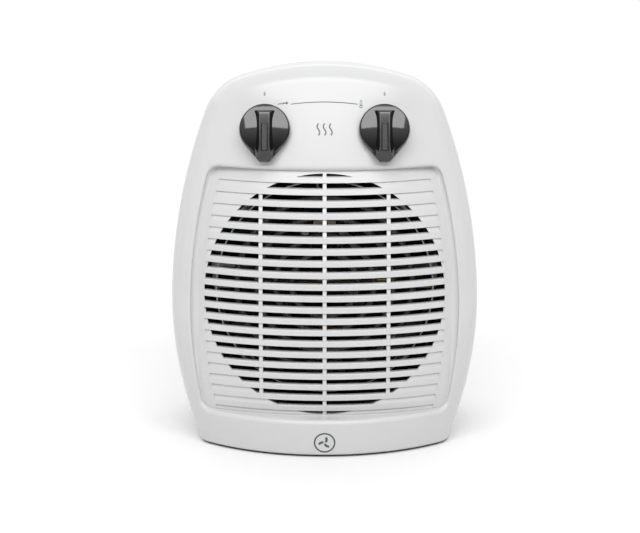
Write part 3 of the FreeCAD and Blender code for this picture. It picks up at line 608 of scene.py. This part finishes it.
def skirt_rows(outline, place):
    rows = [[] for _ in range(16)]
    turn = place.to_3x3()

    def put(k, u, v, w, n):
        rows[k].append((place @ Vector((u, v, w)), turn @ n))

    for u, v, nu, nv in outline:
        wall = Vector((nu, nv, 0))
        top, n = dome(u - nu * SKIRT_EDGE, v - nv * SKIRT_EDGE)
        put(0, u - nu * 2, v - nv * 2, KNOB_GAP, Vector((0, 0, -1)))
        put(1, u - nu * 0.4, v - nv * 0.4, KNOB_GAP, Vector((0, 0, -1)))
        put(2, u, v, KNOB_GAP + 0.4, wall)
        for k in range(6):
            d = slerp(wall, n, k / 5)
            c = Vector((u - nu * SKIRT_EDGE, v - nv * SKIRT_EDGE, top)) - n * SKIRT_EDGE
            p = c + d * SKIRT_EDGE
            put(3 + k, p.x, p.y, p.z, d)
        for k in range(1, 8):
            s = 1 - k / 7
            pu, pv = (u - nu * SKIRT_EDGE) * s, (v - nv * SKIRT_EDGE) * s
            w, n = dome(pu, pv)
            put(8 + k, pu, pv, w, n)
    return rows


def ridge_profile(u):
    """Height of the grip across its width: flat top, rounded shoulders and hollow flanks."""
    u = abs(u)
    if u <= RIDGE_W - 0.6:
        return RIDGE_TOP
    if u <= RIDGE_W:
        t = (u - RIDGE_W + 0.6) / 0.6
        return RIDGE_TOP - 0.6 * (1 - sqrt(max(0.0, 1 - t * t)))
    t = min(1.0, (u - RIDGE_W) / (FLANK_W - RIDGE_W))
    return 8.2 + (RIDGE_TOP - 0.6 - 8.2) * (1 - t) ** 2.6


def ridge_height(u, v):
    w = ridge_profile(u)
    if v > HEAD_V - 3.0:
        t = min(1.0, (v - HEAD_V + 3.0) / 3.0)
        w = min(w, 8.0 + (RIDGE_TOP - 8.0) * sqrt(max(0.0, 1 - t ** 3)))
    slope = (RIDGE_TOP - 7.4) / 6.1
    w = min(w, 7.4 + (v + KNOB_TAIL) * slope)
    if -17.4 < v < 2.2 and abs(u) < 2.3:
        t = min(1.0, (2.3 - abs(u)) / 0.5, (2.2 - v) / 0.5, (v + 17.4) / 0.5)
        w = min(w, RIDGE_TOP - 0.9 * sin(t * pi / 2) ** 1.5)
    return w


def stations(marks, step):
    out = []
    for a, b in zip(marks, marks[1:]):
        count = max(1, int((b - a) / step + 0.999))
        out += [a + (b - a) * k / count for k in range(count)]
    return out + [marks[-1]]


def ridge_mesh(place):
    """Grip ridge as a fine net of heights, trimmed to the knob's outline near its tail."""
    half_u = stations([0.0, 1.8, 2.3, 3.2, 3.8, 4.6, FLANK_W], 0.45)
    us = [-u for u in half_u[:0:-1]] + half_u
    vs = stations([-KNOB_TAIL + 0.15, -18.6, -16.9, 1.7, 2.2, 9.0, HEAD_V], 0.7)
    fine = stations([HEAD_V - 1.2, HEAD_V], 0.15)
    vs = sorted(set([v for v in vs if v <= HEAD_V - 1.2] + fine + [-17.4, -17.55, -17.15]))
    h = KNOB_TAIL_W / 2
    _, tx, tv = tail_tangent()
    bm = bmesh.new()
    grid = []
    for v in vs:
        limit = h + (tx - h) * (v + KNOB_TAIL) / (tv + KNOB_TAIL) - 0.12 if v < tv else FLANK_W
        flare = 1.0 + 0.16 * max(0.0, (v - 4.0) / (HEAD_V - 4.0)) ** 2
        row = []
        for u in us:
            wide = u * (flare if abs(u) > RIDGE_W else 1.0)
            c = max(-limit, min(limit, wide))
            w = ridge_height(c / (flare if abs(c) > RIDGE_W else 1), v)
            row.append(bm.verts.new(place @ Vector((c, v, w))))
        low = 5.0
        row = ([bm.verts.new(place @ Vector((max(-limit, us[0] * flare), v, low)))] + row
               + [bm.verts.new(place @ Vector((min(limit, us[-1] * flare), v, low)))])
        grid.append(row)
    for r0, r1 in zip(grid, grid[1:]):
        for i in range(len(r0) - 1):
            bm.faces.new((r0[i], r0[i + 1], r1[i + 1], r1[i]))
    for row, flip in ((grid[0], True), (grid[-1], False)):
        for i in range(1, len(row) - 2):
            tri = (row[0], row[i], row[i + 1])
            bm.faces.new(tri[::-1] if flip else tri)
    bmesh.ops.remove_doubles(bm, verts=bm.verts, dist=0.02)
    bmesh.ops.recalc_face_normals(bm, faces=bm.faces)
    bmesh.ops.scale(bm, vec=(MM, MM, MM), verts=bm.verts)
    return bm


def knob(x, body, node, material):
    place = panel_frame(x)
    skin = Skin()
    skin.strip(skirt_rows(teardrop(), place), closed=True)
    skirt = skin.build(node + "_skirt", material, body, [node])
    bm = ridge_mesh(place)
    mesh = mesh_from(node + "_ridge", bm)
    mesh.polygons.foreach_set("use_smooth", [True] * len(mesh.polygons))
    mesh.set_sharp_from_angle(angle=radians(38))
    ridge = linked(node + "_ridge", mesh)
    mesh.materials.append(material)
    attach(ridge, body)


SEAT_R, SEAT_TOP, SEAT_ROUND = 17.0, 3.7, 0.7


def knob_seat(x, material):
    """Raised round pad under a knob, with a softened edge and a hole for the control's bushing."""
    place = panel_frame(x)
    turn = place.to_3x3()
    skin = Skin()
    rows = [[] for _ in range(9)]
    for i in range(72):
        t = 2 * pi * i / 72
        flat = Vector((cos(t), sin(t), 0))
        up = Vector((0, 0, 1))
        rows[0].append((place @ (flat * SEAT_R + up * -7.0), turn @ flat))
        for k in range(6):
            d = slerp(flat, up, k / 5)
            p = flat * (SEAT_R - SEAT_ROUND) + up * (SEAT_TOP - SEAT_ROUND) + d * SEAT_ROUND
            rows[1 + k].append((place @ p, turn @ d))
        rows[7].append((place @ (flat * 5.2 + up * SEAT_TOP), turn @ up))
        rows[8].append((place @ (flat * 5.2 + up * 1.2), turn @ -flat))
    skin.strip(rows, closed=True)
    seat = skin.build("knob_seat_" + ("left" if x < 0 else "right"), material, "cabinet")


def grommet_membrane(material):
    """Thin rubber skin that closes the cord grommet while no cord passes through it."""
    bm = bmesh.new()
    place = Matrix.Translation((-0.060, 0.0715, 0.042)) @ Matrix.Rotation(pi / 2, 4, "X")
    bmesh.ops.create_cone(bm, cap_ends=True, segments=40, radius1=0.0036, radius2=0.0036,
                          depth=0.0006, matrix=place)
    mesh = mesh_from("grommet_membrane", bm)
    obj = linked("grommet_membrane", mesh)
    mesh.materials.append(material)
    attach(obj, "cabinet")


# ---------------------------------------------------------------- printed marks

INK_LIFT = 0.06
TICK_X, TICK_LOW_Z, TICK_HIGH_Z = 42.8, 254.0, 256.6
HEAT_SIGN_Z, FOOT_SIGN_Z, FOOT_SIGN_R = 232.0, 11.4, 7.2


def on_panel(x, z):
    n = out_normal(front_y, x, z)
    return Vector((x, front_y(x, z), z)) + n * INK_LIFT, n


def stroke(skin, points, width, closed=False):
    """Thin ribbon of ink that follows (x, z) points over the panel."""
    count = len(points)
    rows = [[], []]
    for i in range(count + (1 if closed else 0)):
        x, z = points[i % count]
        if closed:
            (ax, az), (bx, bz) = points[(i - 1) % count], points[(i + 1) % count]
        else:
            (ax, az), (bx, bz) = points[max(0, i - 1)], points[min(count - 1, i + 1)]
        d = hypot(bx - ax, bz - az)
        nx, nz = -(bz - az) / d * width / 2, (bx - ax) / d * width / 2
        rows[0].append(on_panel(x + nx, z + nz))
        rows[1].append(on_panel(x - nx, z - nz))
    skin.strip(rows)


def bend(x0, x1, z_end, z_mid, count=24):
    mid, half = (x0 + x1) / 2, (x1 - x0) / 2
    return [(mid + half * t, z_mid - (z_mid - z_end) * t * t)
            for t in (2 * k / count - 1 for k in range(count + 1))]


def ring(x, z, rx, rz, count=40):
    return [(x + rx * cos(2 * pi * k / count), z + rz * sin(2 * pi * k / count))
            for k in range(count)]


def wave(x, z, length, sway, count=20):
    return [(x + sway * sin(2 * pi * k / count), z + length * (k / count - 0.5))
            for k in range(count + 1)]


def line(a, b, count=4):
    return [(a[0] + (b[0] - a[0]) * k / count, a[1] + (b[1] - a[1]) * k / count)
            for k in range(count + 1)]


def panel_scale(skin):
    """Line that joins the two controls, an air sign at its left end and a heat sign at its right."""
    stroke(skin, bend(-24.0, 23.5, 248.8, 250.5), 0.62)
    for x, size in ((-31.6, 0.5), (-29.2, 0.8), (-27.0, 1.1)):
        dot = ring(x, 249.0 + (x + 32) * 0.12, size * 0.45, size * 0.45, 12)
        stroke(skin, dot, size * 0.8, True)
    stroke(skin, line((-33.6, 248.6), (-27.0, 249.6)), 0.5)
    stroke(skin, ring(25.9, 247.2, 0.9, 0.9, 16), 0.5, True)
    stroke(skin, ring(25.9, 249.6, 0.65, 1.9, 20), 0.4, True)


def heat_sign(skin, x, z):
    for k in (-1, 0, 1):
        stroke(skin, wave(x + 4.4 * k, z, 8.0, 0.9), 1.0)


def foot_sign(skin, x, z, r):
    stroke(skin, ring(x, z, r, r * 0.98, 56), 1.1, True)
    for k in range(3):
        a = 2 * pi * k / 3 + 0.5
        blade = [(x + t * 4.6 * cos(a + 0.9 * t), z + t * 4.6 * sin(a + 0.9 * t)) for t in
                 (0.18, 0.35, 0.5, 0.65, 0.8, 0.95)]
        stroke(skin, blade, 1.7)


def knob_ticks(skin):
    for x in (-TICK_X, TICK_X):
        stroke(skin, line((x, TICK_LOW_Z), (x, TICK_HIGH_Z)), 1.3)


def printed_marks(dark, mid, pale):
    jobs = {"panel_scale": (mid, panel_scale),
            "heat_sign": (mid, lambda skin: heat_sign(skin, 0.0, HEAT_SIGN_Z)),
            "foot_sign": (dark, lambda skin: foot_sign(skin, 0.0, FOOT_SIGN_Z, FOOT_SIGN_R)),
            "knob_ticks": (pale, knob_ticks)}
    for name, (ink, draw) in jobs.items():
        skin = Skin()
        draw(skin)
        skin.build(name, ink, "cabinet")


# ---------------------------------------------------------------- materials

def nodes_of(name):
    mat = bpy.data.materials.new(name)
    mat.use_nodes = True
    tree = mat.node_tree
    shader = tree.nodes["Principled BSDF"]
    return mat, tree, shader


def add(tree, kind, **values):
    node = tree.nodes.new(kind)
    for key, value in values.items():
        if key in node.inputs:
            node.inputs[key].default_value = value
        else:
            setattr(node, key, value)
    return node


def noise(tree, size_mm, detail=3.0, stretch=(1, 1, 1), roughness=0.5):
    """Noise whose blobs are about size_mm across, in the part's own coordinates."""
    place = add(tree, "ShaderNodeTexCoord")
    scale = add(tree, "ShaderNodeMapping", Scale=stretch)
    tree.links.new(place.outputs["Object"], scale.inputs["Vector"])
    tex = add(tree, "ShaderNodeTexNoise", Scale=1 / (size_mm * MM), Detail=detail,
              Roughness=roughness)
    tree.links.new(scale.outputs["Vector"], tex.inputs["Vector"])
    return tex.outputs["Fac"]


def between(tree, value, low, high):
    """Spreads the middle of a noise over low to high."""
    span = add(tree, "ShaderNodeMapRange",
               **{"From Min": 0.3, "From Max": 0.7, "To Min": low, "To Max": high})
    tree.links.new(value, span.inputs["Value"])
    return span.outputs["Result"]


def blend_colours(tree, value, dark, light):
    ramp = add(tree, "ShaderNodeValToRGB")
    ramp.color_ramp.elements[0].position = 0.32
    ramp.color_ramp.elements[0].color = (*dark, 1)
    ramp.color_ramp.elements[1].position = 0.68
    ramp.color_ramp.elements[1].color = (*light, 1)
    tree.links.new(value, ramp.inputs["Fac"])
    return ramp.outputs["Color"]


def relief(tree, shader, height, depth_mm, edge_mm=0.0):
    """Bump of that depth; edge_mm also softens the look of sharp edges."""
    bump = add(tree, "ShaderNodeBump", Distance=depth_mm * MM, Strength=1.0)
    tree.links.new(height, bump.inputs["Height"])
    if edge_mm:
        soft = add(tree, "ShaderNodeBevel", samples=4, Radius=edge_mm * MM)
        tree.links.new(soft.outputs["Normal"], bump.inputs["Normal"])
    tree.links.new(bump.outputs["Normal"], shader.inputs["Normal"])


WAVES = 3.18


def scaled(colour, k):
    return tuple(min(1.0, c * k) for c in colour)


def moulding(name, colour, rough, grain_mm, depth_mm, edge_mm=0.0, shift=0.03, ior=1.5,
             uneven=0.12):
    """Moulded plastic: faint cloudiness, a fine surface texture and uneven gloss."""
    mat, tree, shader = nodes_of(name)
    cloud = noise(tree, 38.0, 4.0)
    tree.links.new(blend_colours(tree, cloud, scaled(colour, 1 - shift), colour),
                   shader.inputs["Base Color"])
    patch = noise(tree, 9.0, 3.0)
    tree.links.new(between(tree, patch, rough * (1 - uneven), rough * (1 + uneven)),
                   shader.inputs["Roughness"])
    relief(tree, shader, noise(tree, grain_mm, 2.0), depth_mm, edge_mm)
    shader.inputs["IOR"].default_value = ior
    return mat


def metal(name, colour, rough, stretch=(1, 1, 1), grain_mm=1.2, depth_mm=0.01, tarnish=0.82):
    """Plain or plated metal with drawn or rolled lines and slight staining."""
    mat, tree, shader = nodes_of(name)
    stain = noise(tree, 7.0, 5.0)
    tree.links.new(blend_colours(tree, stain, scaled(colour, tarnish), colour),
                   shader.inputs["Base Color"])
    lines = noise(tree, grain_mm, 3.0, stretch)
    tree.links.new(between(tree, lines, rough * 0.8, rough * 1.25), shader.inputs["Roughness"])
    relief(tree, shader, lines, depth_mm, 0.15)
    shader.inputs["Metallic"].default_value = 1.0
    return mat


def sheets(name, colour, across, pitch_mm, rough, metallic=0.0):
    """A stack of thin sheets or turns of wire, told apart by fine parallel lines."""
    mat, tree, shader = nodes_of(name)
    place = add(tree, "ShaderNodeTexCoord")
    lines = add(tree, "ShaderNodeTexWave", Scale=1 / (pitch_mm * MM * WAVES), Distortion=0.4,
                bands_direction=across)
    tree.links.new(place.outputs["Object"], lines.inputs["Vector"])
    tree.links.new(blend_colours(tree, lines.outputs["Fac"], scaled(colour, 0.45), colour),
                   shader.inputs["Base Color"])
    tree.links.new(between(tree, noise(tree, 3.0), rough * 0.8, rough * 1.2),
                   shader.inputs["Roughness"])
    relief(tree, shader, lines.outputs["Fac"], 0.08)
    shader.inputs["Metallic"].default_value = metallic
    return mat


def braid(name, colour, pitch_mm, rough):
    """Sleeve of woven glass fibre or the skin of a stranded wire."""
    mat, tree, shader = nodes_of(name)
    place = add(tree, "ShaderNodeTexCoord")
    cells = add(tree, "ShaderNodeTexVoronoi", Scale=1 / (pitch_mm * MM))
    tree.links.new(place.outputs["Object"], cells.inputs["Vector"])
    tree.links.new(blend_colours(tree, cells.outputs["Distance"], colour, scaled(colour, 0.7)),
                   shader.inputs["Base Color"])
    tree.links.new(between(tree, noise(tree, 4.0), rough * 0.85, rough * 1.15),
                   shader.inputs["Roughness"])
    relief(tree, shader, cells.outputs["Distance"], 0.06)
    return mat


WHITE = (0.61, 0.61, 0.615)


def finishes():
    """One material for each slot of the record."""
    return {
        "white_cover": moulding("white_cover", WHITE, 0.20, 0.9, 0.002, shift=0.006, uneven=0.03),
        "white_grille": moulding("white_grille", WHITE, 0.22, 0.9, 0.002, shift=0.006, uneven=0.03),
        "white_rear": moulding("white_rear", scaled(WHITE, 0.98), 0.34, 0.7, 0.012, 0.4, 0.015),
        "filter_mesh": braid("filter_mesh", (0.012, 0.012, 0.012), 1.2, 0.8),
        "grey_rubber": moulding("grey_rubber", (0.035, 0.035, 0.037), 0.72, 0.5, 0.03, 0.3, 0.3),
        "smoke_plastic": moulding("smoke_plastic", (0.008, 0.008, 0.009), 0.07, 2.5, 0.001,
                                  shift=0.15, ior=1.68),
        "index_strip": moulding("index_strip", (0.012, 0.012, 0.013), 0.22, 0.6, 0.004, 0.0, 0.3),
        "shaft_nylon": moulding("shaft_nylon", (0.62, 0.60, 0.54), 0.5, 0.6, 0.01, 0.2, 0.06),
        "switch_case": moulding("switch_case", (0.03, 0.03, 0.032), 0.45, 0.5, 0.02, 0.3, 0.3),
        # Duct and fan: black plastic, set darker still (0.006) as painted shade, so the inside of
        # the case reads pure black through the grille.
        "duct_plastic": moulding("duct_plastic", (0.006, 0.006, 0.0065), 0.7, 0.6, 0.02, 0.3, 0.3),
        "fan_plastic": moulding("fan_plastic", (0.006, 0.006, 0.007), 0.7, 0.6, 0.02, 0.3, 0.3),
        "bobbin_plastic": moulding("bobbin_plastic", (0.72, 0.70, 0.62), 0.5, 0.6, 0.02, 0.3, 0.06),
        "ceramic_body": moulding("ceramic_body", (0.72, 0.66, 0.54), 0.6, 0.4, 0.03, 0.3, 0.12),
        "brass_tabs": metal("brass_tabs", (0.72, 0.52, 0.20), 0.3, (1, 6, 1)),
        "spring_brass": metal("spring_brass", (0.68, 0.46, 0.18), 0.28, (6, 1, 1)),
        "zinc_steel": metal("zinc_steel", (0.56, 0.57, 0.58), 0.38, (1, 1, 5), 1.6),
        "screw_steel": metal("screw_steel", (0.50, 0.51, 0.53), 0.32),
        "spring_steel": metal("spring_steel", (0.36, 0.36, 0.38), 0.3),
        "shaft_steel": metal("shaft_steel", (0.60, 0.60, 0.62), 0.2, (1, 8, 1), 0.8),
        "rotor_steel": metal("rotor_steel", (0.30, 0.30, 0.32), 0.4, (1, 8, 1), 0.9),
        "heater_wire": sheets("heater_wire", (0.22, 0.20, 0.19), "DIAGONAL", 1.1, 0.5, 0.8),
        "cast_alloy": metal("cast_alloy", (0.55, 0.55, 0.56), 0.5, (1, 1, 1), 0.7, 0.05),
        "bronze": metal("bronze", (0.48, 0.30, 0.13), 0.5, (1, 1, 1), 0.5, 0.03),
        "mica": sheets("mica", (0.48, 0.38, 0.24), "X", 0.35, 0.4),
        "lamination": sheets("lamination", (0.26, 0.26, 0.28), "Y", 0.5, 0.45, 0.8),
        "copper_winding": sheets("copper_winding", (0.62, 0.25, 0.10), "Z", 0.5, 0.3, 0.7),
        "wire_brown": braid("wire_brown", (0.16, 0.07, 0.03), 0.8, 0.45),
        "wire_blue": braid("wire_blue", (0.04, 0.12, 0.40), 0.8, 0.45),
        "wire_black": braid("wire_black", (0.02, 0.02, 0.02), 0.8, 0.45),
        "wire_white": braid("wire_white", (0.70, 0.69, 0.64), 0.5, 0.7),
    }


looks = finishes()
for part in frame["record"]["subparts"]:
    mesh = frame["nodes"][part["node"]].data
    mesh.materials.clear()
    mesh.materials.append(looks[part["material_slot"]])

cover, seat = front_cover(looks["white_cover"])
grille = outlet_grille(looks["white_grille"], seat)

for side, control in ((-1, "function"), (1, "thermostat")):
    knob_seat(side * KNOB_X, looks["white_cover"])
    knob(side * KNOB_X, control + "_control", control + "_knob", looks["smoke_plastic"])

grommet_membrane(looks["grey_rubber"])

printed_marks(moulding("ink_dark", (0.08, 0.08, 0.085), 0.5, 0.5, 0.004, shift=0.2),
              moulding("ink_mid", (0.16, 0.16, 0.165), 0.5, 0.5, 0.004, shift=0.12),
              moulding("ink_pale", (0.30, 0.30, 0.31), 0.5, 0.5, 0.004, shift=0.08))


# ---------------------------------------------------------------- floor, light and camera

def studio_floor():
    bm = bmesh.new()
    bmesh.ops.create_grid(bm, x_segments=8, y_segments=8, size=8.0)
    mesh = mesh_from("studio_floor", bm)
    floor = linked("studio_floor", mesh)
    mesh.materials.append(moulding("floor_paper", (0.84, 0.84, 0.84), 0.9, 3.0, 0.02, 0.0, 0.01))


def softbox(name, place, aim, size, radiance):
    """Rectangular area light; radiance is how bright its face looks."""
    lamp = bpy.data.lights.new(name, "AREA")
    lamp.shape = "RECTANGLE"
    lamp.size, lamp.size_y = size
    lamp.energy = radiance * pi * size[0] * size[1]
    obj = linked(name, lamp)
    obj.location = place
    obj.rotation_euler = (Vector(aim) - Vector(place)).to_track_quat("-Z", "Y").to_euler()


def sky(low, high, back):
    """Dome of light: dim in front near the horizon, brighter overhead, even behind the object."""
    world = bpy.data.worlds.new("studio")
    bpy.context.scene.world = world
    world.use_nodes = True
    tree = world.node_tree
    place = add(tree, "ShaderNodeTexCoord")
    split = add(tree, "ShaderNodeSeparateXYZ")
    level = add(tree, "ShaderNodeMapRange", interpolation_type="SMOOTHSTEP",
                **{"From Min": 0.1, "From Max": 0.6, "To Min": low, "To Max": high})
    side = add(tree, "ShaderNodeMapRange", interpolation_type="SMOOTHSTEP",
               **{"From Min": -0.1, "From Max": 0.3})
    mix = add(tree, "ShaderNodeMix", B=back)
    tree.links.new(place.outputs["Generated"], split.inputs["Vector"])
    tree.links.new(split.outputs["Z"], level.inputs["Value"])
    tree.links.new(split.outputs["Y"], side.inputs["Value"])
    tree.links.new(level.outputs["Result"], mix.inputs["A"])
    tree.links.new(side.outputs["Result"], mix.inputs["Factor"])
    tree.nodes["Background"].inputs["Color"].default_value = (1, 1, 1, 1)
    tree.links.new(mix.outputs["Result"], tree.nodes["Background"].inputs["Strength"])


def camera(target, distance, elevation, lens, shift):
    data = bpy.data.cameras.new("camera")
    data.lens, data.sensor_width = lens, 36.0
    data.shift_x = shift
    data.clip_end = 50.0
    obj = linked("camera", data)
    e = radians(elevation)
    obj.location = Vector(target) + Vector((0, -cos(e), sin(e))) * distance
    obj.rotation_euler = (pi / 2 - e, 0, 0)
    bpy.context.scene.camera = obj


studio_floor()
sky(0.12, 0.85, 1.0)
softbox("softbox_front", (0, -1.3, 1.6), (0, -0.05, 0.18), (2.0, 0.95), 4.3)
softbox("softbox_back", (0, 2.9, 1.9), (0, 3.0, 0), (6.0, 2.6), 0.7)
camera((0, -68.5 * MM, 140 * MM), 1.5, 13.4, 119.8, -0.0072)

bpy.context.scene.view_settings.view_transform = "Standard"
